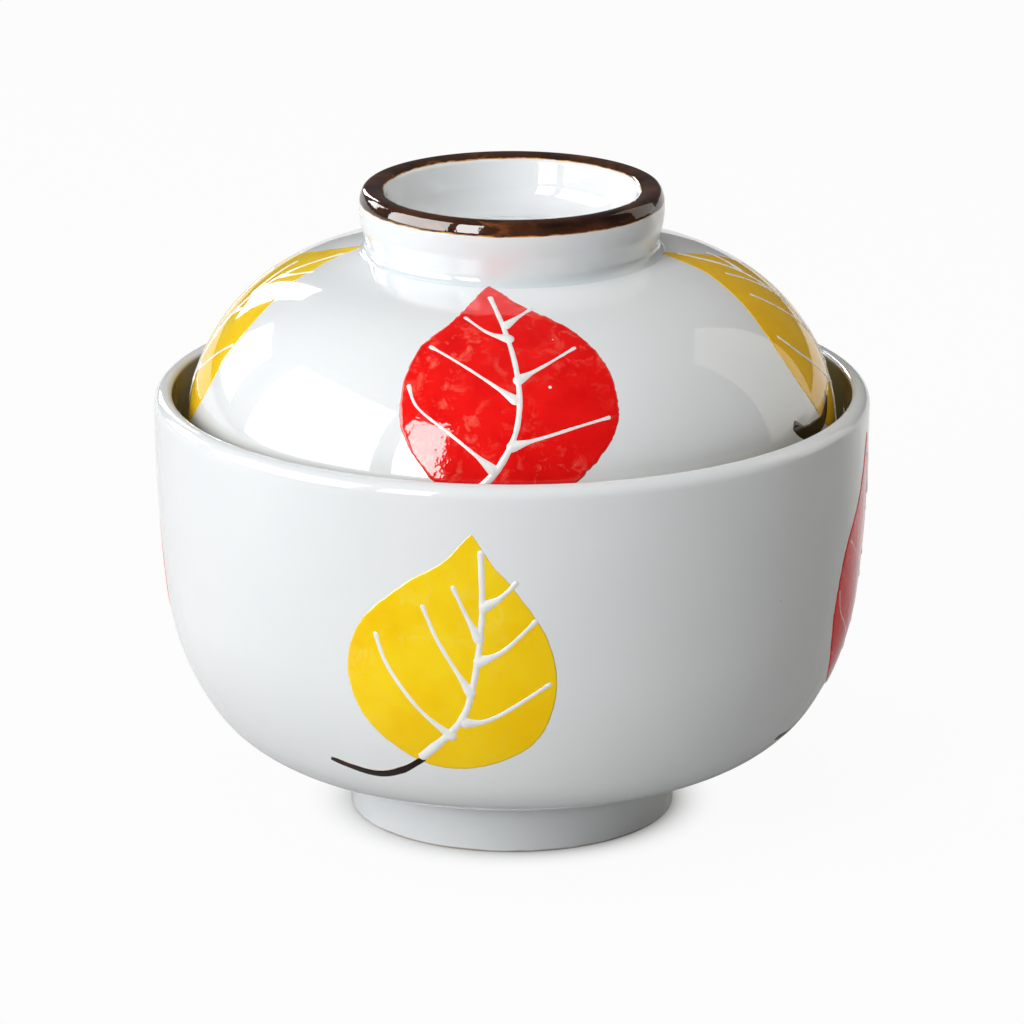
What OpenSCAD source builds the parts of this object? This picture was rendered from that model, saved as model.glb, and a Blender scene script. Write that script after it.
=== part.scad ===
// Lidded steaming bowl: a deep glazed bowl on a foot ring, with a domed lid that drops
// onto a ledge inside the rim. Painted leaves with raised slip veins go round both.
// The origin is on the axis at the standing face of the foot, with +Z up and the front at -Y.

/* [Bowl] */
// Outside diameter of the bowl at its rim
rim_d = 120; // [110:1:140]
// Wall thickness at the lip
lip_t = 3; // [2.4:0.1:3.8]
// Radius of the lip's inner edge
lip_in_r = 0.9; // [0.6:0.1:1.2]
// Height of the lip's crest above the widest circle of the wall
lip_h = 3.4; // [2.6:0.1:6]
// Height of the gently bowed upper wall
wall_h = 31.2; // [24:0.2:42]
// Radius of the upper wall's bow
wall_bow_r = 287; // [200:1:500]
// Radius of the curve where the wall turns in
shoulder_r = 41; // [34:0.5:46]
// Angle from upright at which the turn tightens into the belly
shoulder_turn = 34; // [26:1:42]
// Radius of the belly's tight lower curve
belly_r = 20.5; // [14:0.5:26]
// Angle from upright at which the belly meets the shallow base
belly_turn = 84; // [80:0.5:87]
// Wall thickness of the belly and the base
wall_t = 5; // [3.5:0.1:6.5]

/* [Foot ring] */
// Diameter of the foot at its standing face
foot_d = 55; // [45:0.5:64]
// Height of the foot at its outside
foot_h = 10.7; // [6:0.1:16]
// Thickness of the foot at its standing face
foot_t = 4; // [3:0.1:6]
// How much wider the foot is at its top than at its standing face, on each side
foot_flare = 0.5; // [0:0.1:1.5]
// Rounding of the standing face's edges
foot_edge_r = 0.4; // [0.2:0.1:1.2]

/* [Lid seat] */
// Gap between the lid and the inside of the lip
lip_gap = 2.5; // [1.6:0.1:4]
// Play between the lid's edge and the wall beside its ledge
lid_play = 1; // [0.4:0.1:1.5]
// Width of ledge that lies under the lid
seat_w = 1.7; // [1:0.1:2.4]
// Depth of the ledge below the lip's crest
seat_depth = 10.25; // [8:0.25:16]

/* [Lid] */
// Thickness of the lid
lid_t = 3.1; // [2.5:0.1:4]
// Height of the upright skirt at the lid's edge
skirt_h = 3; // [1.5:0.25:8]
// Rounding of the lid's standing edge
skirt_edge_r = 0.4; // [0.2:0.1:0.8]
// Radius of the dome's lower curve
dome_low_r = 30.4; // [24:0.2:34]
// Angle at which the dome's lower curve hands over to the upper one
dome_turn = 45.6; // [35:0.2:60]
// Radius of the dome's upper curve
dome_high_r = 28.2; // [22:0.2:32]
// Angle at which the dome's upper curve hands over to the shallow crown
crown_turn = 73.5; // [70:0.5:78]

/* [Grip ring] */
// Largest diameter of the ring that the lid is lifted by
grip_d = 50.9; // [42:0.1:58]
// Height of the ring's crest above the crown at the ring's outside
grip_h = 10.8; // [9:0.1:16]
// How far the ring's waist, just above the crown, lies inside its largest radius
grip_flare = 1.65; // [0.5:0.05:2.4]
// Radius of the ring's outer face
grip_face_r = 7; // [5:0.5:12]
// Angle at which the outer face turns into the shoulder
grip_face_turn = 23; // [18:1:30]
// Radius of the ring's outer shoulder
grip_out_r = 1.2; // [0.9:0.1:1.6]
// Radius of the ring's broad top
grip_top_r = 5; // [4:0.25:7]
// Angle at which the broad top turns into the inner edge
grip_top_turn = 118; // [112:1:122]
// Radius of the ring's inner edge
grip_in_r = 1; // [0.7:0.05:1.3]
// How much the ring's inside narrows towards the crown
grip_draft = 0.8; // [0:0.1:1.4]
// Fillet outside the ring, where it joins the crown
grip_fillet_r = 2.2; // [1:0.1:3]
// Fillet inside the ring, where it joins the crown
recess_fillet_r = 4; // [2:0.1:5]
// Thickness of the brown glaze on the ring's edge
rim_glaze_t = 0.3; // [0.15:0.05:0.5]
// Angle on the outer face where the brown glaze begins
rim_glaze_from = 9; // [2:1:14]
// Angle on the inner edge where the brown glaze ends
rim_glaze_to = 125; // [123:1:150]

/* [Leaves] */
// Thickness of the painted colour
enamel_t = 0.15; // [0.08:0.01:0.25]
// Height of the slip veins above the colour
slip_h = 0.35; // [0.2:0.05:0.6]
// Half the width of a vein at its tip
vein_tip_w = 0.4; // [0.3:0.05:0.6]
// Half the width of a vein at its root
vein_root_w = 0.75; // [0.5:0.05:1]
// Half the width of the middle vein
midrib_w = 0.55; // [0.4:0.05:0.8]
// Half the width of a painted stem on the bowl
bowl_stem_w = 0.55; // [0.4:0.05:1]
// Half the width of a painted stem on the lid
lid_stem_w = 1; // [0.4:0.05:1.2]
// Depth of the bowl leaves' middle below the widest circle of the wall
bowl_leaf_drop = 27; // [25:0.5:31]
// Angle up the dome of the lid leaves' middle
lid_leaf_tilt = 40; // [34:1:46]
// Size of the leaves on the bowl
bowl_leaf_size = 1; // [0.8:0.01:1.03]
// Size of the leaves on the lid
lid_leaf_size = 1; // [0.8:0.01:1]

/* [Hidden] */
SIDES = ["front", "right", "back", "left"];
$fn = 240;

// How far a round stretch of an outline may stray from its circle
arc_tol = 0.02;
// Steps between two points of a drawn line
line_n = 4;
// Reach of the cutting shapes past what they cut
over = 8;

white = "#e9eeee";
brown = "#3a2016";
red = "#d8201c";
yellow = "#f0c81e";

// Bowl: radii and centres of its outer curve, worked down from the rim
rim_r = rim_d / 2;
foot_r = foot_d / 2;
wall_turn = asin(wall_h / wall_bow_r);
shoulder_c_r = rim_r - wall_bow_r + (wall_bow_r - shoulder_r) * cos(wall_turn);
belly_c_r = shoulder_c_r + (shoulder_r - belly_r) * cos(shoulder_turn);
base_r = belly_c_r + belly_r * cos(belly_turn);
base_bow_r = base_r / cos(belly_turn);

// Bowl: heights, worked up from the foot's outside top corner, where the base lands on it
foot_top_r = foot_r + foot_flare;
base_c_z = foot_h + sqrt(base_bow_r * base_bow_r - foot_top_r * foot_top_r);
belly_c_z = base_c_z - (base_bow_r - belly_r) * sin(belly_turn);
shoulder_c_z = belly_c_z + (shoulder_r - belly_r) * sin(shoulder_turn);
wide_z = shoulder_c_z + (wall_bow_r - shoulder_r) * sin(wall_turn);
rim_z = wide_z + lip_h;

// Seat: the lid's edge, the wall beside it and the ledge under it
lid_r = rim_r - lip_t - lip_gap;
seat_z = rim_z - seat_depth;
seat_wall_r = lid_r + lid_play;
ledge_r = lid_r - seat_w;

// Lid: centres of its two curves and the shallow crown that the ring stands on
dome_low_c = [lid_r - dome_low_r, seat_z + skirt_h];
dome_high_c = dome_low_c + (dome_low_r - dome_high_r) * [cos(dome_turn), sin(dome_turn)];
crown_from = dome_high_c + dome_high_r * [cos(crown_turn), sin(crown_turn)];
crown_bow_r = crown_from[0] / cos(crown_turn);
crown_c_z = crown_from[1] - crown_bow_r * sin(crown_turn);
// Height of the crown at a radius inside it
function crown_at(r) = crown_c_z + sqrt(crown_bow_r * crown_bow_r - r * r);

// Grip ring: radii of its lip, from the outside in
grip_r = grip_d / 2;
grip_waist_r = grip_r - grip_flare;
grip_crest_r = grip_r - grip_face_r + (grip_face_r - grip_out_r) * cos(grip_face_turn);
grip_in_c_r = grip_crest_r + (grip_top_r - grip_in_r) * cos(grip_top_turn);
grip_recess_r = grip_in_c_r - grip_in_r - grip_draft;
// A fillet stops this far round, so that its toe keeps some thickness
fillet_sweep = 68;
fillet_reach = 1 - cos(fillet_sweep);
grip_toe_r = grip_waist_r + grip_fillet_r * fillet_reach;
recess_toe_r = grip_recess_r - recess_fillet_r * fillet_reach;
grip_crest_z = crown_at(grip_toe_r) + grip_h;
// Grip ring: centres of the lip's four curves, which run into each other
grip_out_c = [grip_crest_r, grip_crest_z - grip_out_r];
grip_face_c = grip_out_c - (grip_face_r - grip_out_r) * [cos(grip_face_turn), sin(grip_face_turn)];
grip_top_c = [grip_crest_r, grip_crest_z - grip_top_r];
grip_in_c = grip_top_c + (grip_top_r - grip_in_r) * [cos(grip_top_turn), sin(grip_top_turn)];

// Each leaf as it was painted by hand: its turn from the front round to the right, its lean to
// the left, and its size against its drawing
BOWL_LEAVES = [[-10, 0, 1], [85, 3, 1.08], [170, 0, 1], [258, 0, 1.04]];
LID_LEAVES = [[0, 0, 1], [85, 12, 1.02], [180, 0, 1], [268, 11, 1.01]];

// Leaf drawings in millimetres about the leaf's middle, tip up: the yellow leaf leans to
// the right, the red one to the left. The outline starts and ends at the tip.
YELLOW_OUTLINE = [
    [4, 22.8], [5, 21.2], [7.5, 17.3], [10.7, 13.5], [16, 4.5], [17, -5], [13, -14], [3.5, -18.8],
    [-5.5, -18], [-14, -11], [-17, -2], [-14.5, 6.5], [-7, 13.7], [-1, 17.5], [2.8, 21.5], [4, 22.8]
];
YELLOW_MIDRIB = [[-5, -17], [1.5, -10], [4, -3], [5.5, 8], [5.5, 19.5]];
YELLOW_VEINS = [
    [[0, -12.5], [-5, -8], [-10, -1], [-12, 4.5]],
    [[3.5, -4.5], [-1.5, 4], [-4, 10]],
    [[5, 5], [3, 9], [1, 13.5]],
    [[6, 10.5], [8.5, 12], [11, 14.5]],
    [[5, 1], [9, 3], [14, 8]],
    [[2.5, -10], [7, -9], [16, -3]]
];
RED_OUTLINE = [
    [-3.8, 23.6], [-2.3, 22], [0.5, 19], [4.5, 15.9], [10, 12], [15, 6], [17, -1], [16, -7], [10, -14],
    [2, -17.5], [-6, -17], [-12.5, -13.5], [-17, -7], [-18, -1], [-15.5, 8], [-10.3, 13.7], [-7, 18.2],
    [-5.2, 21.7], [-3.8, 23.6]
];
RED_MIDRIB = [[-7, -16.5], [-2, -12], [1, -5], [0.5, 5], [-3.5, 20]];
RED_VEINS = [
    [[-3, -12.5], [-9.5, -7], [-15, -2], [-16.5, 2]],
    [[0.5, -1.5], [-6, 3.5], [-13, 9]],
    [[-0.5, 10], [-4, 11.5], [-7.5, 15]],
    [[-1, 13], [1, 15], [3, 17]],
    [[1, 2], [5.5, 5], [10, 8.5]],
    [[0, -9], [6.5, -7], [15.5, -3.5]]
];
BOWL_STEM = [[-4, -16.5], [-9, -20.5], [-14, -22], [-21.5, -20.5]];
LID_YELLOW_STEM = [[-8, -10], [-12.5, -10.8], [-15.5, -10.5], [-19.5, -8.8], [-22.2, -7], [-24, -4.2]];
LID_RED_STEM = [[-5, -14.5], [-10, -17], [-14, -18], [-19, -17]];

// Points along a round stretch
function arc_steps(r, sweep) = max(2, ceil(sweep / (2 * acos(1 - arc_tol / r))));
function arc(c, r, from, to) =
    let (n = arc_steps(r, abs(to - from)))
    [for (i = [0 : n]) let (a = from + (to - from) * i / n) c + r * [cos(a), sin(a)]];

// A smooth line through the points, open at both ends
function smooth(p, n = line_n) = concat(
    [for (i = [0 : len(p) - 2], k = [0 : n - 1])
        let (
            a = p[max(i - 1, 0)], b = p[i], c = p[i + 1], d = p[min(i + 2, len(p) - 1)],
            t = k / n
        )
        b + (t / 2) * ((c - a) + t * ((2 * a - 5 * b + 4 * c - d) + t * (3 * (b - c) + d - a)))],
    [p[len(p) - 1]]
);
function flip(p) = [for (i = [len(p) - 1 : -1 : 0]) p[i]];
function unit(v) = v / norm(v);
function side(p, i) =
    let (d = unit(p[min(i + 1, len(p) - 1)] - p[max(i - 1, 0)])) [-d[1], d[0]];

// Outer curve of the bowl from its axis out to the widest circle, grown outwards by t
function bowl_curve(t) = concat(
    arc([0, base_c_z], base_bow_r + t, -90, -belly_turn),
    arc([belly_c_r, belly_c_z], belly_r + t, -belly_turn, -shoulder_turn),
    arc([shoulder_c_r, shoulder_c_z], shoulder_r + t, -shoulder_turn, -wall_turn),
    arc([rim_r - wall_bow_r, wide_z], wall_bow_r + t, -wall_turn, 0)
);
// Inner curve of the bowl from its axis out to the end of the turn, where the wall goes up
function bowl_inner_curve() = concat(
    arc([0, base_c_z], base_bow_r - wall_t, -90, -belly_turn),
    arc([belly_c_r, belly_c_z], belly_r - wall_t, -belly_turn, -shoulder_turn),
    arc([shoulder_c_r, shoulder_c_z], shoulder_r - wall_t, -shoulder_turn, -wall_turn)
);
// The lip is two quarter rounds that share a crest
function bowl_lip() =
    let (out_r = lip_t - lip_in_r)
    concat(
        arc([rim_r - out_r, rim_z - out_r], out_r, 0, 90),
        arc([rim_r - out_r, rim_z - lip_in_r], lip_in_r, 90, 180)
    );
// Curve of the dome from the skirt's edge in to the axis, grown outwards by t
function lid_curve(t) = concat(
    [[lid_r + t, seat_z]],
    arc(dome_low_c, dome_low_r + t, 0, dome_turn),
    arc(dome_high_c, dome_high_r + t, dome_turn, crown_turn),
    arc([0, crown_c_z], crown_bow_r + t, crown_turn, 90)
);
// The grip ring's lip under its glaze or over it, from the outer shoulder to the inner edge
function glazed_lip(t) = concat(
    arc(grip_face_c, grip_face_r - t, rim_glaze_from, grip_face_turn),
    arc(grip_out_c, grip_out_r - t, grip_face_turn, 90),
    arc(grip_top_c, grip_top_r - t, 90, grip_top_turn),
    arc(grip_in_c, grip_in_r - t, grip_top_turn, rim_glaze_to)
);

module bowl_solid() {
    polygon(concat(bowl_curve(0), bowl_lip(), [[0, rim_z]]));
}

module bowl_wall() {
    color(white) rotate_extrude()
        polygon(concat(
            bowl_curve(0),
            bowl_lip(),
            [[seat_wall_r, seat_z], [ledge_r, seat_z]],
            flip(bowl_inner_curve())
        ));
}

module bowl_foot_ring() {
    foot_in_r = foot_r - foot_t;
    color(white) rotate_extrude() difference() {
        polygon(concat(
            [[foot_in_r - foot_flare, foot_h + over]],
            arc([foot_in_r + foot_edge_r, foot_edge_r], foot_edge_r, 180, 270),
            arc([foot_r - foot_edge_r, foot_edge_r], foot_edge_r, 270, 360),
            [[foot_top_r, foot_h], [foot_top_r, foot_h + over]]
        ));
        bowl_solid();
    }
}

module lid_dome() {
    edge_in_r = lid_r - lid_t;
    outside = lid_curve(0);
    inside = lid_curve(-lid_t);
    color(white) rotate_extrude()
        polygon(concat(
            arc([lid_r - skirt_edge_r, seat_z + skirt_edge_r], skirt_edge_r, -90, 0),
            [for (i = [1 : len(outside) - 1]) outside[i]],
            [for (i = [len(inside) - 1 : -1 : 1]) inside[i]],
            arc([edge_in_r + skirt_edge_r, seat_z + skirt_edge_r], skirt_edge_r, 180, 270)
        ));
}

module lid_solid() {
    polygon(concat(lid_curve(0), [[0, seat_z]]));
}

module lid_grip_ring() {
    waist_z = crown_at(grip_toe_r) + grip_fillet_r;
    recess_z = crown_at(recess_toe_r) + recess_fillet_r;
    color(white) rotate_extrude() difference() {
        polygon(concat(
            [[recess_toe_r, waist_z - over], [grip_toe_r, waist_z - over]],
            arc([grip_waist_r + grip_fillet_r, waist_z], grip_fillet_r, 180 + fillet_sweep, 180),
            arc(grip_face_c, grip_face_r, 0, rim_glaze_from),
            glazed_lip(rim_glaze_t),
            arc(grip_in_c, grip_in_r, rim_glaze_to, 180),
            arc([grip_recess_r - recess_fillet_r, recess_z], recess_fillet_r, 0, -fillet_sweep)
        ));
        lid_solid();
    }
}

module lid_rim_glaze() {
    color(brown) rotate_extrude() polygon(concat(glazed_lip(0), flip(glazed_lip(rim_glaze_t))));
}

// A drawn line that narrows from its root to its tip, with round ends
module stroke(points, root_w, tip_w) {
    p = smooth(points);
    n = len(p) - 1;
    function half_w(i) = root_w + (tip_w - root_w) * i / n;
    function heading(i) = let (s = side(p, i)) atan2(s[1], s[0]);
    function cap(i, r, turn) =
        [for (a = [30 : 30 : 150]) p[i] + r * [cos(heading(i) + turn - a), sin(heading(i) + turn - a)]];
    polygon(concat(
        [for (i = [0 : n]) p[i] + half_w(i) * side(p, i)],
        cap(n, tip_w, 0),
        [for (i = [n : -1 : 0]) p[i] - half_w(i) * side(p, i)],
        cap(0, root_w, 180)
    ));
}

// The leaf drawings as prisms of height h
module leaf_outline(is_red, h) {
    linear_extrude(h) polygon(smooth(is_red ? RED_OUTLINE : YELLOW_OUTLINE));
}

module leaf_veins(is_red, h) {
    intersection() {
        leaf_outline(is_red, h);
        union() {
            linear_extrude(h) stroke(is_red ? RED_MIDRIB : YELLOW_MIDRIB, midrib_w, vein_tip_w);
            for (v = is_red ? RED_VEINS : YELLOW_VEINS)
                linear_extrude(h) stroke(v, vein_root_w, vein_tip_w);
        }
    }
}

module leaf_stem(is_red, points, w, h) {
    difference() {
        linear_extrude(h) stroke(points, w, w);
        leaf_outline(is_red, h);
    }
}

// Layers that follow the outside of the bowl and of the lid, from one height above it to another
module bowl_skin(from, to) {
    rotate_extrude() polygon(concat(bowl_curve(from), flip(bowl_curve(to))));
}

module lid_skin(from, to) {
    rotate_extrude() polygon(concat(lid_curve(from), flip(lid_curve(to))));
}

function bowl_is_red(i) = i % 2 == 1;
function lid_is_red(i) = i % 2 == 0;

// Height of a drawing's prism on the bowl and on the lid, before its scale
bowl_reach = rim_r / 2 + over;
lid_reach = 4 * over;

// Leans and sizes a drawing as its leaf was painted
module painted(leaf, size) {
    rotate([0, 0, leaf[1]]) scale(size * leaf[2]) children();
}

// Wraps a drawing on the side of the bowl, facing outwards at place i
module on_bowl(i, from, to) {
    intersection() {
        bowl_skin(from, to);
        rotate([0, 0, BOWL_LEAVES[i][0]])
            translate([0, -rim_r / 2, wide_z - bowl_leaf_drop])
                rotate([90, 0, 0]) painted(BOWL_LEAVES[i], bowl_leaf_size) children();
    }
}

// Wraps a drawing on the dome outside the grip ring, facing outwards and up at place i
module on_lid(i, from, to) {
    middle = dome_low_c + dome_low_r * [cos(lid_leaf_tilt), sin(lid_leaf_tilt)];
    difference() {
        intersection() {
            lid_skin(from, to);
            rotate([0, 0, LID_LEAVES[i][0]])
                translate([0, -middle[0], middle[1]])
                    rotate([90 - lid_leaf_tilt, 0, 0])
                        translate([0, 0, -3 * over]) painted(LID_LEAVES[i], lid_leaf_size) children();
        }
        cylinder(h = grip_crest_z, r = grip_toe_r);
    }
}

module bowl_leaf(i) {
    is_red = bowl_is_red(i);
    color(is_red ? red : yellow) on_bowl(i, 0, enamel_t) leaf_outline(is_red, bowl_reach);
}

module bowl_veins(i) {
    color(white) on_bowl(i, enamel_t, enamel_t + slip_h) leaf_veins(bowl_is_red(i), bowl_reach);
}

module bowl_stem(i) {
    color(brown) on_bowl(i, 0, enamel_t) leaf_stem(bowl_is_red(i), BOWL_STEM, bowl_stem_w, bowl_reach);
}

module lid_leaf(i) {
    is_red = lid_is_red(i);
    color(is_red ? red : yellow) on_lid(i, 0, enamel_t) leaf_outline(is_red, lid_reach);
}

module lid_veins(i) {
    color(white) on_lid(i, enamel_t, enamel_t + slip_h) leaf_veins(lid_is_red(i), lid_reach);
}

module lid_stem(i) {
    is_red = lid_is_red(i);
    color(brown) on_lid(i, 0, enamel_t)
        leaf_stem(is_red, is_red ? LID_RED_STEM : LID_YELLOW_STEM, lid_stem_w, lid_reach);
}

bowl_wall();
bowl_foot_ring();
lid_dome();
lid_grip_ring();
lid_rim_glaze();
for (i = [0 : len(SIDES) - 1]) {
    bowl_leaf(i);
    bowl_veins(i);
    bowl_stem(i);
    lid_leaf(i);
    lid_veins(i);
    lid_stem(i);
}
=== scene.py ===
import math
import bmesh
import bpy
from mathutils import Matrix, Vector, noise


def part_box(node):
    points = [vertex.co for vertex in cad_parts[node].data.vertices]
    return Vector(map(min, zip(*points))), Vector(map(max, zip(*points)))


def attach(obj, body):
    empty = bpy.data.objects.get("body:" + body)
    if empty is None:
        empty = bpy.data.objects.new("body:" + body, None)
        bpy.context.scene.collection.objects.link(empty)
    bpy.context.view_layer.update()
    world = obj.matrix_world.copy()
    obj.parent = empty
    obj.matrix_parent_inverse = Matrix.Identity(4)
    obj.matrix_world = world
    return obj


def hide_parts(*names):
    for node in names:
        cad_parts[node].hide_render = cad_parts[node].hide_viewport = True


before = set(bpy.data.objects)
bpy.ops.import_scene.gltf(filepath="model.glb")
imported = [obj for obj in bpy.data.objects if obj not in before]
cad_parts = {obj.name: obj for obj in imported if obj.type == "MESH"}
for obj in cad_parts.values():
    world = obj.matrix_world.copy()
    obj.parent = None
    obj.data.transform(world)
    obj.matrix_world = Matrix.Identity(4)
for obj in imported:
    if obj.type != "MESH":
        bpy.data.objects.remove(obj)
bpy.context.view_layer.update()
scene = bpy.context.scene
mm = 0.001  # shapes are drawn in millimetres and made in metres
print("frame: bowl and lid loaded")


# camera, at the photograph's angle
cameraSettings = {
    "place": (0.0, -0.9481, 0.3447),
    "aim": (0.0, 0.0, 0.05105),
    "lens": 206.5,
    "sensor": 36.0,
}


def placeCamera(s):
    data = bpy.data.cameras.new("photoCamera")
    data.lens = s["lens"]
    data.sensor_width = s["sensor"]
    data.clip_end = 20.0
    camera = bpy.data.objects.new("photoCamera", data)
    camera.location = s["place"]
    look = Vector(s["aim"]) - Vector(s["place"])
    camera.rotation_euler = look.to_track_quat("-Z", "Y").to_euler()
    scene.collection.objects.link(camera)
    scene.camera = camera


placeCamera(cameraSettings)
print("camera: placed")


def cosAt(angle):
    return math.cos(math.radians(angle))


def sinAt(angle):
    return math.sin(math.radians(angle))


# outlines and lines
lineSettings = {"stepLength": 1.2, "stepAngle": 10.0, "wheelSteps": 192}


def arcPoints(centre, radius, start, end):
    sweep = abs(end - start)
    byLength = radius * math.radians(sweep) / lineSettings["stepLength"]
    count = max(2, math.ceil(max(byLength, sweep / lineSettings["stepAngle"])))
    angles = [math.radians(start + (end - start) * i / count) for i in range(count + 1)]
    return [(centre[0] + radius * math.cos(a), centre[1] + radius * math.sin(a)) for a in angles]


def smoothLine(points, perSpan):
    # a line through the points that bends smoothly, open at both ends
    p = [Vector(q) for q in points]
    line = []
    for i in range(len(p) - 1):
        a, b, c, d = p[max(i - 1, 0)], p[i], p[i + 1], p[min(i + 2, len(p) - 1)]
        for k in range(perSpan):
            t = k / perSpan
            bend = (2 * a - 5 * b + 4 * c - d) + (3 * (b - c) + d - a) * t
            line.append(b + ((c - a) + bend * t) * (t / 2))
    return line + [p[-1]]


def dropRepeats(points):
    kept = [points[0]]
    for q in points[1:]:
        if math.hypot(q[0] - kept[-1][0], q[1] - kept[-1][1]) > 0.002:
            kept.append(q)
    return kept


def turnOnWheel(outline, closed):
    # a (radius, height) outline in millimetres, turned once round the axis
    bm = bmesh.new()
    along = bm.verts.layers.float.new("along")
    points = dropRepeats(outline)
    ring = []
    for i, (r, z) in enumerate(points):
        vert = bm.verts.new((r * mm, 0, z * mm))
        vert[along] = i / (len(points) - 1)
        ring.append(vert)
    edges = [bm.edges.new(pair) for pair in zip(ring, ring[1:])]
    if closed:
        edges.append(bm.edges.new((ring[-1], ring[0])))
    bmesh.ops.spin(
        bm, geom=ring + edges, cent=(0, 0, 0), axis=(0, 0, 1), angle=math.tau,
        steps=lineSettings["wheelSteps"], use_merge=True, use_duplicate=False,
    )
    bmesh.ops.remove_doubles(bm, verts=bm.verts, dist=0.0005 * mm)
    bmesh.ops.recalc_face_normals(bm, faces=bm.faces)
    return bm


def roundEdges(bm, edges, width):
    bmesh.ops.bevel(
        bm, geom=edges, offset=width * mm, offset_type="OFFSET", segments=3, profile=0.5,
        affect="EDGES", clamp_overlap=True, material=-1,
    )


def roundSharpEdges(bm, width, fromAngle=32.0):
    sharp = [e for e in bm.edges if e.is_manifold and e.calc_face_angle() > math.radians(fromAngle)]
    roundEdges(bm, sharp, width)


def makePiece(name, bm, material, body, node):
    mesh = bpy.data.meshes.new(name)
    bm.to_mesh(mesh)
    bm.free()
    for polygon in mesh.polygons:
        polygon.use_smooth = True
    mesh.materials.append(material)
    piece = bpy.data.objects.new(name, mesh)
    scene.collection.objects.link(piece)
    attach(piece, body)
    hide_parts(node)
    return piece


# shared finishes
def newGroup(name, inputs, outputs):
    group = bpy.data.node_groups.new(name, "ShaderNodeTree")
    for title, kind, value in inputs:
        socket = group.interface.new_socket(name=title, in_out="INPUT", socket_type=kind)
        if value is not None:
            socket.default_value = value
    for title, kind in outputs:
        group.interface.new_socket(name=title, in_out="OUTPUT", socket_type=kind)
    return group, group.nodes.new("NodeGroupInput"), group.nodes.new("NodeGroupOutput")


def addNoise(tree, vector, scale, detail=2.0, rough=0.5, distort=0.0):
    node = tree.nodes.new("ShaderNodeTexNoise")
    node.inputs["Scale"].default_value = scale
    node.inputs["Detail"].default_value = detail
    node.inputs["Roughness"].default_value = rough
    node.inputs["Distortion"].default_value = distort
    tree.links.new(vector, node.inputs["Vector"])
    return node


def addRange(tree, value, fromLow, fromHigh, toLow=0.0, toHigh=1.0, smooth=False):
    node = tree.nodes.new("ShaderNodeMapRange")
    node.interpolation_type = "SMOOTHSTEP" if smooth else "LINEAR"
    node.inputs["From Min"].default_value = fromLow
    node.inputs["From Max"].default_value = fromHigh
    node.inputs["To Min"].default_value = toLow
    node.inputs["To Max"].default_value = toHigh
    tree.links.new(value, node.inputs["Value"])
    return node.outputs["Result"]


def addMath(tree, operation, a, b):
    node = tree.nodes.new("ShaderNodeMath")
    node.operation = operation
    for socket, value in zip(node.inputs, (a, b)):
        if isinstance(value, (int, float)):
            socket.default_value = value
        else:
            tree.links.new(value, socket)
    return node.outputs["Value"]


def addMix(tree, factor, a, b, blend="MIX"):
    node = tree.nodes.new("ShaderNodeMix")
    node.data_type = "RGBA"
    node.blend_type = blend
    for title, value in (("Factor_Float", factor), ("A_Color", a), ("B_Color", b)):
        socket = next(s for s in node.inputs if s.identifier == title)
        if isinstance(value, (int, float)):
            socket.default_value = value
        elif isinstance(value, tuple):
            socket.default_value = (*value, 1.0)
        else:
            tree.links.new(value, socket)
    return next(s for s in node.outputs if s.identifier == "Result_Color")


def mixValues(tree, factor, a, b):
    node = tree.nodes.new("ShaderNodeMix")
    for title, value in (("Factor", factor), ("A", a), ("B", b)):
        if isinstance(value, (int, float)):
            node.inputs[title].default_value = value
        else:
            tree.links.new(value, node.inputs[title])
    return node.outputs["Result"]


def splitVector(tree, vector):
    node = tree.nodes.new("ShaderNodeSeparateXYZ")
    tree.links.new(vector, node.inputs["Vector"])
    return node.outputs


def makeGlazeSkinGroup():
    # slow swells and a fine orange peel, and a gloss that drifts a little
    group, entry, leave = newGroup(
        "glazeSkin",
        [("Vector", "NodeSocketVector", None), ("Swell", "NodeSocketFloat", 0.5),
         ("Peel", "NodeSocketFloat", 0.1), ("Gloss", "NodeSocketFloat", 0.05)],
        [("Height", "NodeSocketFloat"), ("Roughness", "NodeSocketFloat")],
    )
    vector = entry.outputs["Vector"]
    swell = addNoise(group, vector, 90.0, 1.0)
    peel = addNoise(group, vector, 700.0, 2.0)
    drift = addNoise(group, vector, 45.0, 3.0)
    high = addMath(group, "MULTIPLY", swell.outputs["Fac"], entry.outputs["Swell"])
    low = addMath(group, "MULTIPLY", peel.outputs["Fac"], entry.outputs["Peel"])
    group.links.new(addMath(group, "ADD", high, low), leave.inputs["Height"])
    change = addRange(group, drift.outputs["Fac"], 0.3, 0.7, 0.7, 1.4)
    group.links.new(addMath(group, "MULTIPLY", change, entry.outputs["Gloss"]), leave.inputs["Roughness"])
    return group


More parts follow.
